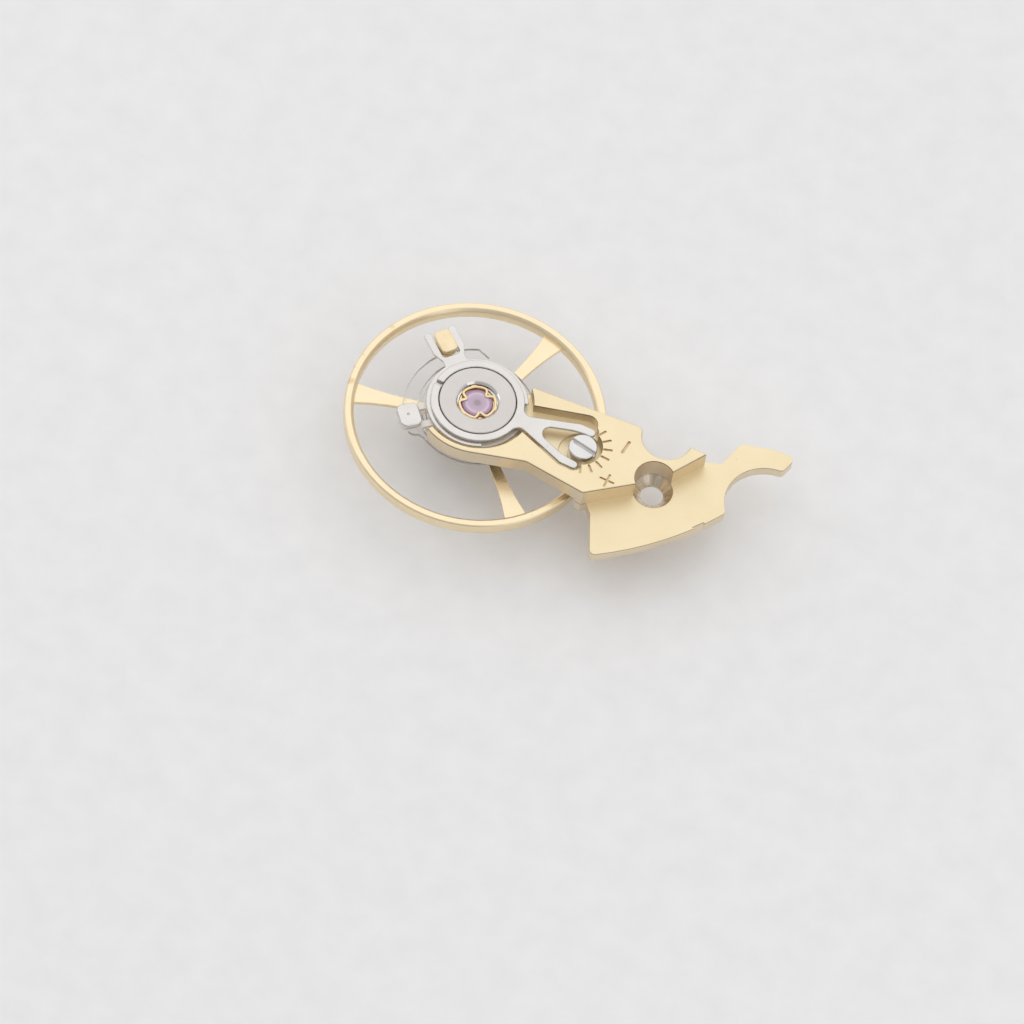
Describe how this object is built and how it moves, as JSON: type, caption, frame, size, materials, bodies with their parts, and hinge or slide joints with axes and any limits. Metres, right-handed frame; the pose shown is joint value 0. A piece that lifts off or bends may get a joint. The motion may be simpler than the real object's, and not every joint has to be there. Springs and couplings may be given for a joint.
{
  "type": "watch balance wheel with cock",
  "caption": "Gilt balance wheel with flared arms on its staff, hung with its hairspring under a stepped cock with a shock setting, stud holder and finely adjustable regulator.",
  "frame": {"origin": "on the axis of the cock screw's hole, at the seating face of the cock's foot", "axes": "+Z is the hole's axis, away from the movement's plate; +X points away from the balance axis, which lies on the X axis at -7.4 mm and is parallel to Z"},
  "size_m": [0.0166, 0.01, 0.003],
  "materials": {
    "gilt_plate": "fine matt gilt plating",
    "gilt_wheel": "satin gilt, polished edges",
    "polished_steel": "polished hardened steel",
    "brushed_steel": "fine circular grain",
    "gold_spring": "bright gilt",
    "stud_brass": "machined brass",
    "spring_alloy": "rolled grey alloy ribbon",
    "ruby": "polished synthetic ruby"
  },
  "bodies": {
    "cock": {"balance_cock": "gilt_plate", "shock_block": "polished_steel", "shock_spring": "gold_spring", "hairspring": "spring_alloy", "steady_pin_front": "stud_brass", "steady_pin_rear": "stud_brass"},
    "balance": {"balance_wheel": "gilt_wheel", "balance_staff": "polished_steel", "hairspring_collet": "stud_brass", "double_roller": "stud_brass", "impulse_jewel": "ruby"},
    "setting": {"jewel_setting": "gold_spring", "hole_jewel": "ruby", "cap_jewel": "ruby"},
    "stud_holder": {"stud_holder": "brushed_steel"},
    "stud": {"stud": "stud_brass"},
    "corrector": {"regulator_corrector": "brushed_steel"},
    "regulator": {"regulator": "brushed_steel"},
    "regulator_pin": {"regulator_pin": "brushed_steel"},
    "eccentric": {"eccentric_screw": "polished_steel"}
  },
  "joints": [
    {"name": "balance_swing", "type": "hinge", "parent": "cock", "child": "balance", "pos_m": [-0.0074, 0, 0], "axis": [0, 0, 1], "range_deg": [-300, 300], "stiffness_Nm_per_rad": 0.000000695, "deforming": ["hairspring"]},
    {"name": "setting_lift", "type": "slide", "parent": "cock", "child": "setting", "axis": [0, 0, 1], "range_m": [0, 0.00005], "stiffness_N_per_m": 20, "deforming": ["shock_spring"]},
    {"name": "stud_holder_turn", "type": "hinge", "parent": "cock", "child": "stud_holder", "pos_m": [-0.0074, 0, 0], "axis": [0, 0, 1], "range_deg": [-10, 10]},
    {"name": "stud_turn", "type": "hinge", "parent": "stud_holder", "child": "stud", "pos_m": [-0.00953, 0.00179, 0.001], "axis": [0, 0, 1], "range_deg": [-12, 12]},
    {"name": "eccentric_turn", "type": "hinge", "parent": "cock", "child": "eccentric", "pos_m": [-0.00308, 0, 0.001], "axis": [0, 0, 1], "range_deg": [-40, 40]},
    {"name": "corrector_turn", "type": "hinge", "parent": "cock", "child": "corrector", "pos_m": [-0.0074, 0, 0], "axis": [0, 0, 1], "range_deg": [-0.75, 0.75]},
    {"name": "regulator_turn", "type": "hinge", "parent": "corrector", "child": "regulator", "pos_m": [-0.0074, 0, 0], "axis": [0, 0, 1], "range_deg": [-12, 2.5]},
    {"name": "regulator_pin_turn", "type": "hinge", "parent": "regulator", "child": "regulator_pin", "pos_m": [-0.0095, -0.00182, 0.001], "axis": [0, 0, 1], "range_deg": [-12, 12]}
  ],
  "couplings": [
    {"joint": "corrector_turn", "follows": "eccentric_turn", "ratio": 0.0175}
  ]
}
